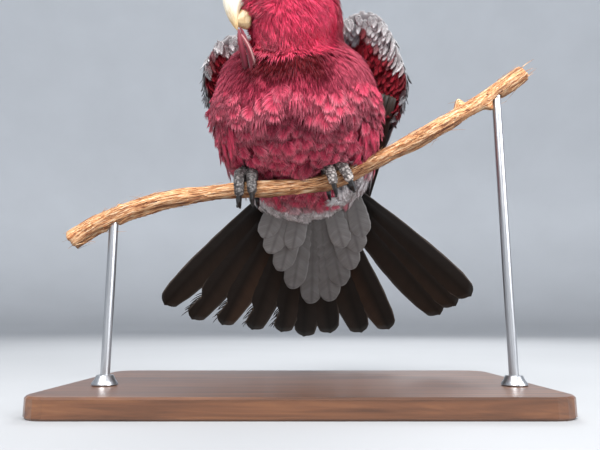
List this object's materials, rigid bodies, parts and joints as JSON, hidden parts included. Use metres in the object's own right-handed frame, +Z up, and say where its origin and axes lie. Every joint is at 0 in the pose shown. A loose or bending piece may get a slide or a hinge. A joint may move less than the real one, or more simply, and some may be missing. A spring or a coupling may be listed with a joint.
{
  "type": "galah",
  "caption": "Life-size still model of a galah gripping a short branch, head turned and bill down preening its breast, tail fanned, on a plain board stand with two rods.",
  "frame": {"origin": "centre line of the bird on the underside of the stand's base, below the perch point between the feet", "axes": "+Z up; the bird faces -Y; +X is the bird's left"},
  "size_m": [0.3052, 0.2674, 0.2849],
  "materials": {
    "plumage_pink": "soft rose-pink contour feathers",
    "plumage_pale": "pale pinkish-white crest feathers",
    "plumage_grey": "soft pale grey covert feathers",
    "flight_dark": "stiff dark grey-brown flight feathers",
    "toe_skin": "scaly dark grey skin",
    "claw_black": "glossy black horn",
    "bill_horn": "ivory horn with a satin shine",
    "eye_dark": "wet dark brown",
    "perch_wood": "weathered peeled branch",
    "base_wood": "dark stained board, satin",
    "rod_steel": "fine brushed"
  },
  "bodies": {
    "root": {"head": "plumage_pink", "crest": "plumage_pale", "neck": "plumage_pink", "trunk": "plumage_pink", "mantle": "plumage_grey", "leg_left": "plumage_pink", "leg_right": "plumage_pink", "foot_left": "toe_skin", "foot_right": "toe_skin", "bill_upper": "bill_horn", "bill_lower": "bill_horn", "eye_left": "eye_dark", "eye_right": "eye_dark", "wing_left_coverts": "plumage_grey", "wing_left_flight": "flight_dark", "wing_right_coverts": "plumage_grey", "wing_right_flight": "flight_dark", "tail": "flight_dark", "undertail_coverts": "plumage_grey", "held_feathers": "plumage_pink", "perch_branch": "perch_wood", "stand_base": "base_wood", "stand_rod_left": "rod_steel", "stand_rod_right": "rod_steel", "stand_collar_left": "rod_steel", "stand_collar_right": "rod_steel", "claw_left_1": "claw_black", "claw_left_2": "claw_black", "claw_left_3": "claw_black", "claw_left_4": "claw_black", "claw_right_1": "claw_black", "claw_right_2": "claw_black", "claw_right_3": "claw_black", "claw_right_4": "claw_black"}
  },
  "joints": []
}
